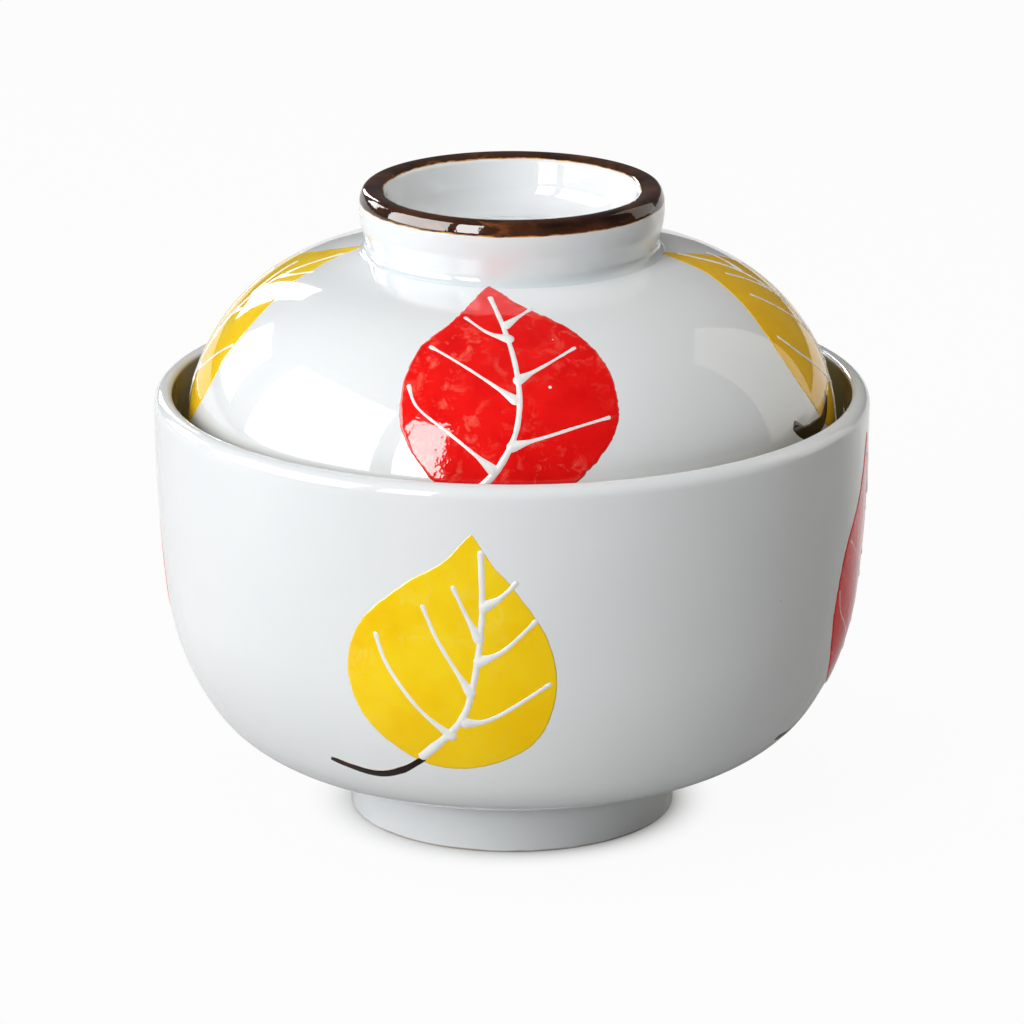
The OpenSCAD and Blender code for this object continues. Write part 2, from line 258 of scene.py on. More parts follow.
def makeBrushMottleGroup():
    # colour laid on by brush: cloudy, with thin pale streaks where it ran thin
    group, entry, leave = newGroup(
        "brushMottle",
        [("Vector", "NodeSocketVector", None), ("Full", "NodeSocketColor", None),
         ("Deep", "NodeSocketColor", None), ("Thin", "NodeSocketColor", None),
         ("Cloud", "NodeSocketFloat", 120.0), ("Streak", "NodeSocketFloat", 500.0),
         ("Thinness", "NodeSocketFloat", 0.3)],
        [("Color", "NodeSocketColor"), ("Body", "NodeSocketFloat")],
    )
    vector = entry.outputs["Vector"]
    cloud = addNoise(group, vector, 120.0, 3.0, 0.55)
    group.links.new(entry.outputs["Cloud"], cloud.inputs["Scale"])
    streak = addNoise(group, vector, 500.0, 5.0, 0.62, 0.6)
    group.links.new(entry.outputs["Streak"], streak.inputs["Scale"])
    patch = addNoise(group, vector, 70.0, 2.0)
    deepen = addRange(group, cloud.outputs["Fac"], 0.38, 0.68)
    colour = addMix(group, deepen, entry.outputs["Full"], entry.outputs["Deep"])
    thinHere = addRange(group, streak.outputs["Fac"], 0.52, 0.72)
    thinThere = addRange(group, patch.outputs["Fac"], 0.42, 0.62)
    thin = addMath(group, "MULTIPLY", thinHere, thinThere)
    thin = addMath(group, "MULTIPLY", thin, entry.outputs["Thinness"])
    colour = addMix(group, thin, colour, entry.outputs["Thin"])
    group.links.new(colour, leave.inputs["Color"])
    group.links.new(addMath(group, "SUBTRACT", 1.0, thin), leave.inputs["Body"])
    return group


def makePinholeGroup():
    # a few tiny round spots, far apart
    group, entry, leave = newGroup(
        "pinholes",
        [("Vector", "NodeSocketVector", None), ("Spread", "NodeSocketFloat", 220.0),
         ("Size", "NodeSocketFloat", 0.06), ("Share", "NodeSocketFloat", 0.2)],
        [("Mask", "NodeSocketFloat")],
    )
    cell = group.nodes.new("ShaderNodeTexVoronoi")
    group.links.new(entry.outputs["Vector"], cell.inputs["Vector"])
    group.links.new(entry.outputs["Spread"], cell.inputs["Scale"])
    split = group.nodes.new("ShaderNodeSeparateColor")
    group.links.new(cell.outputs["Color"], split.inputs["Color"])
    near = addMath(group, "LESS_THAN", cell.outputs["Distance"], entry.outputs["Size"])
    chosen = addMath(group, "LESS_THAN", split.outputs["Red"], entry.outputs["Share"])
    group.links.new(addMath(group, "MULTIPLY", near, chosen), leave.inputs["Mask"])
    return group


def makePoolAndShadeBeltGroup():
    # a belt round the axis at one height: where the clear glaze gathers, and on the foot ring painted shade
    group, entry, leave = newGroup(
        "glazePool",
        [("Vector", "NodeSocketVector", None), ("Height", "NodeSocketFloat", 0.0),
         ("Spread", "NodeSocketFloat", 0.002), ("Ragged", "NodeSocketFloat", 0.0008)],
        [("Mask", "NodeSocketFloat")],
    )
    split = splitVector(group, entry.outputs["Vector"])
    wander = addNoise(group, entry.outputs["Vector"], 160.0, 2.0)
    shift = addMath(group, "SUBTRACT", wander.outputs["Fac"], 0.5)
    shift = addMath(group, "MULTIPLY", shift, entry.outputs["Ragged"])
    height = addMath(group, "ADD", split["Z"], shift)
    gap = addMath(group, "ABSOLUTE", addMath(group, "SUBTRACT", height, entry.outputs["Height"]), 0.0)
    share = addMath(group, "DIVIDE", gap, entry.outputs["Spread"])
    group.links.new(addRange(group, share, 1.0, 0.0, 0.0, 1.0, True), leave.inputs["Mask"])
    return group


glazeSkin = makeGlazeSkinGroup()
brushMottle = makeBrushMottleGroup()
pinholes = makePinholeGroup()
glazePool = makePoolAndShadeBeltGroup()


def useGroup(tree, group, **values):
    node = tree.nodes.new("ShaderNodeGroup")
    node.node_tree = group
    for title, value in values.items():
        if isinstance(value, bpy.types.NodeSocket):
            tree.links.new(value, node.inputs[title])
        elif isinstance(value, tuple):
            node.inputs[title].default_value = (*value, 1.0)
        else:
            node.inputs[title].default_value = value
    return node


def newMaterial(name):
    material = bpy.data.materials.new(name)
    material.use_nodes = True
    tree = material.node_tree
    shader = tree.nodes["Principled BSDF"]
    place = tree.nodes.new("ShaderNodeTexCoord").outputs["Object"]
    return material, tree, shader, place


def coatWithGlaze(tree, shader, place, swell, peel, gloss, depth):
    skin = useGroup(tree, glazeSkin, Vector=place, Swell=swell, Peel=peel, Gloss=gloss)
    bump = tree.nodes.new("ShaderNodeBump")
    bump.inputs["Strength"].default_value = 1.0
    bump.inputs["Distance"].default_value = depth * mm
    tree.links.new(skin.outputs["Height"], bump.inputs["Height"])
    tree.links.new(bump.outputs["Normal"], shader.inputs["Normal"])
    tree.links.new(skin.outputs["Roughness"], shader.inputs["Roughness"])
    return skin


# white porcelain under a clear, faintly blue glaze
porcelain = {
    "white": (0.79, 0.812, 0.822),
    "cool": (0.765, 0.79, 0.803),
    "pool": (0.56, 0.66, 0.70),
    "joint": (0.16, 0.17, 0.165),
    "fleck": (0.42, 0.34, 0.26),
    "clay": (0.66, 0.60, 0.53),
    "clayEdge": (0.34, 0.23, 0.15),
    "ledge": (0.26, 0.205, 0.08),
    "cloud": 38.0, "swell": 0.6, "peel": 0.035, "gloss": 0.045, "depth": 0.10, "ior": 1.6,
    "washFadeLow": 0.3, "washFadeHigh": 0.9, "bareWander": 0.5, "bareEdge": 0.4, "bareGloss": 0.75,
}


def makePorcelain(name, poolAndShadeBelts, bareBelow=None, ledge=None):
    # (height, spread, strength, tone) belts round the axis, in millimetres: gathered glaze, and on the foot
    # ring painted shade
    s = porcelain
    material, tree, shader, place = newMaterial(name)
    cloud = addNoise(tree, place, s["cloud"], 3.0)
    tone = addMix(tree, addRange(tree, cloud.outputs["Fac"], 0.35, 0.7), s["white"], s["cool"])
    for height, spread, strength, belt in poolAndShadeBelts:
        pool = useGroup(tree, glazePool, Vector=place, Height=height * mm, Spread=spread * mm)
        share = addMath(tree, "MULTIPLY", pool.outputs["Mask"], strength)
        tone = addMix(tree, share, tone, s[belt])
    flecks = useGroup(tree, pinholes, Vector=place, Spread=160.0, Size=0.028, Share=0.05)
    tone = addMix(tree, addMath(tree, "MULTIPLY", flecks.outputs["Mask"], 0.6), tone, s["fleck"])
    skin = coatWithGlaze(tree, shader, place, s["swell"], s["peel"], s["gloss"], s["depth"])
    if ledge is not None:
        # painted shade in the gap under the lid: the shelf and the lip's inner wall turn olive brown; low
        # and high edge, and how far out it reaches
        low, high, outR = ledge
        split = splitVector(tree, place)
        across = addMath(tree, "POWER", split["X"], 2.0)
        across = addMath(tree, "ADD", across, addMath(tree, "POWER", split["Y"], 2.0))
        inside = addMath(tree, "LESS_THAN", addMath(tree, "POWER", across, 0.5), outR * mm)
        under = addRange(tree, split["Z"], high * mm, (high - s["washFadeHigh"]) * mm, 0, 1, True)
        over = addRange(tree, split["Z"], (low - s["washFadeLow"]) * mm, low * mm, 0, 1, True)
        gapShadeMask = addMath(tree, "MULTIPLY", inside, addMath(tree, "MULTIPLY", under, over))
        tone = addMix(tree, gapShadeMask, tone, s["ledge"])
    if bareBelow is not None:
        # the wiped edge that stands on something has no glaze
        wander = addNoise(tree, place, 220.0, 3.0)
        line = addMath(tree, "SUBTRACT", wander.outputs["Fac"], 0.5)
        line = addMath(tree, "MULTIPLY", line, s["bareWander"] * mm)
        height = addMath(tree, "ADD", splitVector(tree, place)["Z"], line)
        edge = addRange(tree, height, (bareBelow + s["bareEdge"]) * mm, (bareBelow + 0.05) * mm, 0, 1, True)
        bare = addRange(tree, height, (bareBelow + 0.05) * mm, (bareBelow - 0.15) * mm, 0, 1, True)
        grain = addNoise(tree, place, 1800.0, 3.0)
        clay = addMix(tree, grain.outputs["Fac"], s["clay"], tuple(0.8 * c for c in s["clay"]))
        tone = addMix(tree, addMath(tree, "MULTIPLY", edge, 0.8), tone, s["clayEdge"])
        tone = addMix(tree, bare, tone, clay)
        dull = mixValues(tree, bare, skin.outputs["Roughness"], s["bareGloss"])
        tree.links.new(dull, shader.inputs["Roughness"])
    tree.links.new(tone, shader.inputs["Base Color"])
    shader.inputs["IOR"].default_value = s["ior"]
    return material


# leaf colours, brushed over the glaze
redEnamel = {
    "full": (0.88, 0.010, 0.008), "deep": (0.74, 0.005, 0.005), "thin": (0.97, 0.17, 0.12),
    "cloud": 150.0, "streak": 420.0, "thinness": 0.85, "shade": 0.35,
    "swell": 0.6, "peel": 0.30, "gloss": 0.05, "depth": 0.17, "ior": 1.6,
}
yellowEnamel = {
    "full": (0.97, 0.68, 0.014), "deep": (0.93, 0.575, 0.003), "thin": (0.97, 0.77, 0.13),
    "cloud": 95.0, "streak": 260.0, "thinness": 0.5, "shade": 0.6,
    "swell": 0.5, "peel": 0.05, "gloss": 0.05, "depth": 0.10, "ior": 1.6,
}
# painted shade: a deeper, more orange copy of the yellow for the lid's right leaf, which sits on the shaded
# side
fullYellow = {
    **yellowEnamel,
    "full": (0.96, 0.59, 0.008), "deep": (0.91, 0.49, 0.002), "thin": (0.96, 0.66, 0.05),
}
enamelSpots = {"Spread": 170.0, "Size": 0.045, "Share": 0.12}


def makeEnamel(name, s):
    material, tree, shader, place = newMaterial(name)
    paint = useGroup(
        tree, brushMottle, Vector=place, Full=s["full"], Deep=s["deep"], Thin=s["thin"],
        Cloud=s["cloud"], Streak=s["streak"], Thinness=s["thinness"],
    )
    tone = paint.outputs["Color"]
    # painted shade: the colour deepens towards the leaf's right and bottom
    leafMap = tree.nodes.new("ShaderNodeUVMap")
    leafMap.uv_map = "leafMap"
    split = splitVector(tree, leafMap.outputs["UV"])
    lean = addMath(tree, "SUBTRACT", split["X"], addMath(tree, "MULTIPLY", split["Y"], 0.5))
    paintedLeafShade = addMath(tree, "MULTIPLY", addRange(tree, lean, 0.25, 0.75, 0, 1, True), s["shade"])
    tone = addMix(tree, paintedLeafShade, tone, s["deep"])
    # thin at the very edge
    edge = tree.nodes.new("ShaderNodeAttribute")
    edge.attribute_name = "edge"
    fade = addRange(tree, edge.outputs["Fac"], 0.5, 0.0, 0.0, 0.45)
    tone = addMix(tree, fade, tone, s["thin"])
    spots = useGroup(tree, pinholes, Vector=place, **enamelSpots)
    tone = addMix(tree, spots.outputs["Mask"], tone, porcelain["white"])
    tree.links.new(tone, shader.inputs["Base Color"])
    coatWithGlaze(tree, shader, place, s["swell"], s["peel"], s["gloss"], s["depth"])
    shader.inputs["IOR"].default_value = s["ior"]
    return material


# raised white slip
slip = {
    "white": (0.86, 0.86, 0.845), "shade": (0.78, 0.785, 0.775),
    "cloud": 400.0, "swell": 0.3, "peel": 0.1, "gloss": 0.10, "depth": 0.12,
}


def makeSlip(name, s):
    material, tree, shader, place = newMaterial(name)
    cloud = addNoise(tree, place, s["cloud"], 3.0)
    tone = addMix(tree, addRange(tree, cloud.outputs["Fac"], 0.4, 0.7), s["white"], s["shade"])
    tree.links.new(tone, shader.inputs["Base Color"])
    coatWithGlaze(tree, shader, place, s["swell"], s["peel"], s["gloss"], s["depth"])
    return material


# iron brown: near black where it is thick, amber where it thins out at an edge
ironGlaze = {
    "full": (0.072, 0.025, 0.011), "deep": (0.014, 0.007, 0.005), "thin": (0.28, 0.095, 0.028),
    "amber": (0.70, 0.34, 0.10), "amberFrom": 0.55, "cloud": 130.0, "streak": 240.0, "thinness": 1.0,
    "stretch": 3.0, "swell": 1.5, "peel": 0.12, "gloss": 0.05, "depth": 0.24, "ior": 1.65,
}
stemBrown = {
    "full": (0.018, 0.008, 0.005), "deep": (0.007, 0.004, 0.003), "thin": (0.07, 0.026, 0.012),
    "amber": (0.50, 0.21, 0.06), "amberFrom": 0.22, "cloud": 300.0, "streak": 700.0, "thinness": 0.4,
    "stretch": 1.0, "swell": 0.4, "peel": 0.12, "gloss": 0.07, "depth": 0.10, "ior": 1.65,
}


def makeIronBrown(name, s):
    material, tree, shader, place = newMaterial(name)
    drawn = tree.nodes.new("ShaderNodeMapping")
    drawn.inputs["Scale"].default_value = (1.0, 1.0, s["stretch"])
    tree.links.new(place, drawn.inputs["Vector"])
    paint = useGroup(
        tree, brushMottle, Vector=drawn.outputs["Vector"], Full=s["full"], Deep=s["deep"], Thin=s["thin"],
        Cloud=s["cloud"], Streak=s["streak"], Thinness=s["thinness"],
    )
    edge = tree.nodes.new("ShaderNodeAttribute")
    edge.attribute_name = "edge"
    wander = addNoise(tree, place, 600.0, 3.0)
    shift = addRange(tree, wander.outputs["Fac"], 0.3, 0.7, -0.2, 0.2)
    reach = addMath(tree, "ADD", edge.outputs["Fac"], shift)
    amber = addRange(tree, reach, s["amberFrom"], 0.05, 0.0, 1.0, True)
    tone = addMix(tree, amber, paint.outputs["Color"], s["amber"])
    tree.links.new(tone, shader.inputs["Base Color"])
    coatWithGlaze(tree, shader, place, s["swell"], s["peel"], s["gloss"], s["depth"])
    shader.inputs["IOR"].default_value = s["ior"]
    return material


print("finishes: shared groups ready")


# heights that the frame gives, in millimetres
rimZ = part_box("bowl_wall")[1].z / mm
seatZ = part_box("lid_dome")[0].z / mm
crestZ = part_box("lid_rim_glaze")[1].z / mm

# bowl
bowl = {
    "rimR": 60.0, "lipT": 3.0, "lipInner": 0.9, "lipH": 3.4, "wallH": 31.2, "wallBow": 287.0,
    "shoulderR": 41.0, "shoulderTurn": 34.0, "bellyR": 20.5, "bellyTurn": 84.0,
    "wallT": 5.0, "lipGap": 2.5, "lidPlay": 1.0, "seatW": 1.7, "edgeRound": 0.4,
}


def bowlArcs(s):
    # centre radius, centre height, radius, start and end angle, from the axis out to the rim
    wallTurn = math.degrees(math.asin(s["wallH"] / s["wallBow"]))
    shoulderTurn, bellyTurn = s["shoulderTurn"], s["bellyTurn"]
    wallC = (s["rimR"] - s["wallBow"], rimZ - s["lipH"])
    step = s["wallBow"] - s["shoulderR"]
    shoulderC = (wallC[0] + step * cosAt(wallTurn), wallC[1] - step * sinAt(wallTurn))
    step = s["shoulderR"] - s["bellyR"]
    bellyC = (shoulderC[0] + step * cosAt(shoulderTurn), shoulderC[1] - step * sinAt(shoulderTurn))
    baseR = (bellyC[0] + s["bellyR"] * cosAt(bellyTurn)) / cosAt(bellyTurn)
    baseC = (0.0, bellyC[1] + (baseR - s["bellyR"]) * sinAt(bellyTurn))
    return [
        (baseC, baseR, -90.0, -bellyTurn),
        (bellyC, s["bellyR"], -bellyTurn, -shoulderTurn),
        (shoulderC, s["shoulderR"], -shoulderTurn, -wallTurn),
        (wallC, s["wallBow"], -wallTurn, 0.0),
    ]


bowlCurve = bowlArcs(bowl)
lidR = bowl["rimR"] - bowl["lipT"] - bowl["lipGap"]
wideZ = rimZ - bowl["lipH"]


def throwBowl(s):
    outside = [q for c, r, a, b in bowlCurve for q in arcPoints(c, r, a, b)]
    inner = s["lipInner"]
    outer = s["lipT"] - inner
    lip = arcPoints((s["rimR"] - outer, rimZ - outer), outer, 0, 90)
    lip += arcPoints((s["rimR"] - outer, rimZ - inner), inner, 90, 180)
    seat = [(lidR + s["lidPlay"], seatZ), (lidR - s["seatW"], seatZ)]
    inside = [q for c, r, a, b in bowlCurve[:3] for q in arcPoints(c, r - s["wallT"], a, b)]
    bm = turnOnWheel(outside + lip + seat + inside[::-1], closed=False)
    roundSharpEdges(bm, s["edgeRound"])
    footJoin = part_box("bowl_foot_ring")[1].z / mm
    # painted shade in the gap under the lid: its low edge, high edge and how far out it reaches
    ledge = (seatZ - 1.0, rimZ - 0.2, s["rimR"] - outer - 0.5 * inner)
    finish = makePorcelain("bowlGlaze", [(footJoin, 1.2, 0.3, "pool")], ledge=ledge)
    makePiece("bowlWall", bm, finish, "bowl", "bowl_wall")


throwBowl(bowl)
print("bowl: wall thrown")

# foot ring
foot = {
    "bottomR": 27.5, "flare": 0.5, "thick": 4.0, "edgeRound": 0.35, "topRound": 0.6, "sink": 0.6,
    "bareBelow": 0.1,
}


def turnFoot(s):
    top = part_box("bowl_foot_ring")[1].z / mm
    innerR = s["bottomR"] - s["thick"]
    topR = s["bottomR"] + s["flare"]
    outline = [(innerR, 0.0), (s["bottomR"], 0.0)]
    outline += arcPoints((topR - s["topRound"], top - s["topRound"]), s["topRound"], 0, 90)
    outline += [(topR - s["topRound"], top + s["sink"]), (innerR - s["flare"], top + s["sink"])]
    bm = turnOnWheel(outline, closed=True)
    standing = [e for e in bm.edges if all(v.co.z < 0.1 * mm for v in e.verts)]
    corners = [e for e in standing if e.calc_face_angle() > math.radians(60)]
    roundEdges(bm, corners, s["edgeRound"])
    # painted shade: the foot's upper part greys towards the bowl, where the bowl's underside shades it
    finish = makePorcelain("footGlaze", [(top, 5.2, 0.6, "joint")], bareBelow=s["bareBelow"])
    makePiece("bowlFootRing", bm, finish, "bowl", "bowl_foot_ring")


turnFoot(foot)
print("bowl: foot ring turned")

# grip ring sizes, which the lid's glaze needs too
grip = {
    "outR": 25.45, "faceR": 7.0, "faceTurn": 23.0, "shoulderR": 1.2,
    "topR": 5.0, "topTurn": 118.0, "innerR": 1.0,
    "wallBow": 14.0, "footFillet": 1.5, "draft": 0.8, "recessFillet": 5.0, "sink": 0.4, "wobble": 0.10,
}


def gripLipArcs(s):
    # leaning outer face, tight shoulder, broad top, small inner edge: centre, radius, start and end angle
    faceWay = Vector((cosAt(s["faceTurn"]), sinAt(s["faceTurn"])))
    topWay = Vector((cosAt(s["topTurn"]), sinAt(s["topTurn"])))
    crestR = s["outR"] - s["faceR"] + (s["faceR"] - s["shoulderR"]) * faceWay.x
    shoulderC = Vector((crestR, crestZ - s["shoulderR"]))
    topC = Vector((crestR, crestZ - s["topR"]))
    return [
        (shoulderC - faceWay * (s["faceR"] - s["shoulderR"]), s["faceR"], 0.0, s["faceTurn"]),
        (shoulderC, s["shoulderR"], s["faceTurn"], 90.0),
        (topC, s["topR"], 90.0, s["topTurn"]),
        (topC + topWay * (s["topR"] - s["innerR"]), s["innerR"], s["topTurn"], 180.0),
    ]


gripLip = gripLipArcs(grip)

# lid
lid = {
    "thick": 3.1, "skirtH": 3.0, "lowR": 30.4, "turn": 45.6, "highR": 28.2, "crownTurn": 73.5,
    "edgeRound": 0.4, "bareAbove": 0.5,
}


def lidArcs(s):
    # centre, radius, start and end angle, from the skirt up to the axis
    lowC = Vector((lidR - s["lowR"], seatZ + s["skirtH"]))
    highC = lowC + Vector((cosAt(s["turn"]), sinAt(s["turn"]))) * (s["lowR"] - s["highR"])
    way = Vector((cosAt(s["crownTurn"]), sinAt(s["crownTurn"])))
    crownFrom = highC + way * s["highR"]
    crownR = crownFrom.x / way.x
    return [
        (lowC, s["lowR"], 0.0, s["turn"]),
        (highC, s["highR"], s["turn"], s["crownTurn"]),
        (crownFrom - way * crownR, crownR, s["crownTurn"], 90.0),
    ]


lidCurve = lidArcs(lid)
crownC, crownR = lidCurve[2][:2]


def lidLine(grow):
    return [(lidR + grow, seatZ)] + [q for c, r, a, b in lidCurve for q in arcPoints(c, r + grow, a, b)]


def throwLid(s):
    bm = turnOnWheel(lidLine(-s["thick"])[::-1] + lidLine(0), closed=False)
    roundSharpEdges(bm, s["edgeRound"])
    ringZ = crownC.y + math.sqrt(crownR ** 2 - grip["outR"] ** 2)
    finish = makePorcelain("lidGlaze", [(ringZ, 0.7, 0.12, "pool")], bareBelow=seatZ + s["bareAbove"])
    makePiece("lidDome", bm, finish, "lid", "lid_dome")


throwLid(lid)
print("lid: dome thrown")


# grip ring on the crown
def circlesMeet(a, radiusA, b, radiusB):
    # the outer of the two points where two circles cross
    gap = b - a
    along = (radiusA ** 2 - radiusB ** 2 + gap.length_squared) / (2 * gap.length)
    across = math.sqrt(radiusA ** 2 - along ** 2)
    way = gap.normalized()
    side = Vector((-way.y, way.x)) * across
    return max((a + way * along + side, a + way * along - side), key=lambda q: q.x)


def angleTo(a, b):
    return math.degrees(math.atan2(b.y - a.y, b.x - a.x))


def throwGrip(s):
    bowC = Vector((s["outR"] - s["wallBow"], gripLip[0][0].y))
    fillet = s["footFillet"]
    filletC = circlesMeet(bowC, s["wallBow"] + fillet, crownC, crownR + fillet)
    toe = filletC + (crownC - filletC).normalized() * fillet
    recessR = gripLip[3][0].x - s["innerR"] - s["draft"]
    hollow = s["recessFillet"]
    hollowC = Vector((recessR - hollow, 0.0))
    hollowC.y = crownC.y + math.sqrt((crownR + hollow) ** 2 - hollowC.x ** 2)
    innerToe = hollowC + (crownC - hollowC).normalized() * hollow
    outline = [(toe.x, toe.y - s["sink"])]
    outline += arcPoints(filletC, fillet, angleTo(filletC, crownC) + 360, angleTo(filletC, bowC))
    outline += arcPoints(bowC, s["wallBow"], angleTo(bowC, filletC), 0)
    for centre, radius, start, end in gripLip:
        outline += arcPoints(centre, radius, start, end)
    outline += arcPoints(hollowC, hollow, 0, angleTo(hollowC, crownC))
    outline += [(innerToe.x, innerToe.y - s["sink"])]
    bm = turnOnWheel(outline, closed=True)
    # the joint was smoothed by hand, so its fillet is not quite even
    for vert in bm.verts:
        share = 1 - abs(vert.co.z / mm - filletC.y) / (1.2 * fillet)
        if share > 0 and vert.co.xy.length > recessR * mm:
            out = Vector((vert.co.x, vert.co.y, 0)).normalized()
            swell = noise.noise(out * 5.0) + 0.6 * noise.noise(out * 14.0)
            vert.co += (out + Vector((0, 0, 0.5))) * (swell * share * s["wobble"] * mm)
    bmesh.ops.recalc_face_normals(bm, faces=bm.faces)
    finish = makePorcelain("gripGlaze", [(toe.y, 1.8, 0.5, "pool")])
    makePiece("lidGripRing", bm, finish, "lid", "lid_grip_ring")


throwGrip(grip)
print("lid: grip ring joined")

# brown glaze over the ring's edge: start and end are lengths along the lip's curves
band = {
    "start": 1.1, "end": 6.8, "proud": 0.07, "under": 0.25, "rise": 0.35,
    "waver": 0.15, "edgeFade": 0.5, "points": 40,
}


def alongGripLip(run):
    # where a length along the lip's curves ends: centre, radius and angle
    for centre, radius, start, end in gripLip:
        length = radius * math.radians(end - start)
        if run <= length:
            break
        run -= length
    return centre, radius, math.radians(start) + run / radius


def bandPoint(share, depth, theta, s):
    # share runs from the outer edge of the band over the crest to the inner edge
    outward = Vector((math.cos(theta), math.sin(theta), 0.0))
    waver = noise.noise(outward * 5.0) + 0.6 * noise.noise(outward * 17.0 + Vector((3, 1, 2)))
    waverIn = noise.noise(outward * 4.0 + Vector((7, 5, 1))) + 0.6 * noise.noise(outward * 19.0)
    start = s["start"] + waver * s["waver"]
    end = s["end"] + waverIn * s["waver"]
    run = start + share * (end - start)
    toEdge = min(run - start, end - run)
    lift = depth if depth < 0 else depth * min(1.0, toEdge / s["rise"])
    centre, radius, angle = alongGripLip(run)
    r = centre.x + (radius + lift) * math.cos(angle)
    z = centre.y + (radius + lift) * math.sin(angle)
    return outward * (r * mm) + Vector((0, 0, z * mm)), min(1.0, toEdge / s["edgeFade"])


def glazeGripEdge(s):
    count = s["points"]
    angles = [math.pi * i / count for i in range(count + 1)]
    # any closed outline will do here: the points are set just after
    outer = [(grip["outR"] + math.cos(a), crestZ + math.sin(a)) for a in angles]
    inner = [(grip["outR"] + 0.8 * math.cos(a), crestZ + 0.8 * math.sin(a)) for a in angles]
    bm = turnOnWheel(outer + inner[::-1], closed=True)
    along = bm.verts.layers.float["along"]
    edge = bm.verts.layers.float.new("edge")
    last = 2 * count + 1
    for vert in bm.verts:
        i = round(vert[along] * last)
        share, depth = (i / count, s["proud"]) if i <= count else ((last - i) / count, -s["under"])
        theta = math.atan2(vert.co.y, vert.co.x)
        vert.co, vert[edge] = bandPoint(share, depth, theta, s)
    bmesh.ops.recalc_face_normals(bm, faces=bm.faces)
    finish = makeIronBrown("ironGlaze", ironGlaze)
    makePiece("lidRimGlaze", bm, finish, "lid", "lid_rim_glaze")


glazeGripEdge(band)
print("lid: brown edge glazed")


# where the leaves lie: drawn flat, then laid on the bowl or the lid
# each leaf: its turn from the front round to the right, its lean to the left, its size
leafPlaces = {
    "sides": ("front", "right", "back", "left"),
    "bowl": ((-10, 0, 1.0), (85, 3, 1.08), (170, 0, 1.0), (258, 0, 1.04)),
    "lid": ((0, 0, 1.0), (85, 12, 1.02), (180, 0, 1.0), (268, 11, 1.01)),
    "bowlDrop": 27.0, "lidTilt": 40.0, "settleSteps": 7,
}


def onBowl(u, v, w, turn):
    z = wideZ - leafPlaces["bowlDrop"] + v
    for centre, radius, start, end in bowlCurve[::-1]:
        if z >= centre[1] + radius * math.sin(math.radians(start)):
            break
    r = centre[0] + math.sqrt(radius ** 2 - (z - centre[1]) ** 2)
    y = -math.sqrt(r ** 2 - u ** 2)
    lean = (r - centre[0]) / radius
    normal = Vector((lean * u / r, lean * y / r, (z - centre[1]) / radius))
    return Matrix.Rotation(turn, 3, "Z") @ ((Vector((u, y, z)) + normal * w) * mm)


def lidGap(p):
    # distance outside the dome, and the way straight out of it
    r = p.xy.length
    if p.z < lidCurve[0][0].y:
        return r - lidR, Vector((p.x / r, p.y / r, 0))
    for centre, radius, start, end in lidCurve:
        d = Vector((r - centre.x, p.z - centre.y))
        if math.degrees(math.atan2(d.y, d.x)) <= end:
            break
    n = d.normalized()
    return d.length - radius, Vector((n.x * p.x / r, n.x * p.y / r, n.y))


def onLid(u, v, w, turn):
    tilt = leafPlaces["lidTilt"]
    facing = Vector((0, -cosAt(tilt), sinAt(tilt)))
    upward = Vector((0, sinAt(tilt), cosAt(tilt)))
    lowC = lidCurve[0][0]
    middle = Vector((0, -lowC.x, lowC.y)) + facing * lid["lowR"]
    p = middle + Vector((u, 0, 0)) + upward * v
    for _ in range(leafPlaces["settleSteps"]):
        gap, normal = lidGap(p)
        p -= facing * (gap / max(0.2, normal.dot(facing)))
    gap, normal = lidGap(p)
    return Matrix.Rotation(turn, 3, "Z") @ ((p + normal * w) * mm)


# the two leaf drawings, in millimetres about the leaf's middle, tip up
leafDrawings = {
    "yellow": {
        "outline": [
            (4, 22.8), (5, 21.2), (7.5, 17.3), (10.7, 13.5), (16, 4.5), (17, -5), (13, -14),
            (3.5, -18.8), (-5.5, -18), (-14, -11), (-17, -2), (-14.5, 6.5), (-7, 13.7),
            (-1, 17.5), (2.8, 21.5), (4, 22.8),
        ],
        "midrib": [(-5, -17), (1.5, -10), (4, -3), (5.5, 8), (5.5, 19.5)],
        "veins": [
            [(0, -12.5), (-5, -8), (-10, -1), (-12, 4.5)],
            [(3.5, -4.5), (-1.5, 4), (-4, 10)],
            [(5, 5), (3, 9), (1, 13.5)],
            [(6, 10.5), (8.5, 12), (11, 14.5)],
            [(5, 1), (9, 3), (14, 8)],
            [(2.5, -10), (7, -9), (16, -3)],
        ],
        "ragged": 0.09, "thick": 0.018,
    },
    "red": {
        "outline": [
            (-3.8, 23.6), (-2.3, 22), (0.5, 19), (4.5, 15.9), (10, 12), (15, 6), (17, -1), (16, -7),
            (10, -14), (2, -17.5), (-6, -17), (-12.5, -13.5), (-17, -7), (-18, -1), (-15.5, 8),
            (-10.3, 13.7), (-7, 18.2), (-5.2, 21.7), (-3.8, 23.6),
        ],
        "midrib": [(-7, -16.5), (-2, -12), (1, -5), (0.5, 5), (-3.5, 20)],
        "veins": [
            [(-3, -12.5), (-9.5, -7), (-15, -2), (-16.5, 2)],
            [(0.5, -1.5), (-6, 3.5), (-13, 9)],
            [(-0.5, 10), (-4, 11.5), (-7.5, 15)],
            [(-1, 13), (1, 15), (3, 17)],
            [(1, 2), (5.5, 5), (10, 8.5)],
            [(0, -9), (6.5, -7), (15.5, -3.5)],
        ],
        "ragged": 0.18, "thick": 0.07,
    },
}
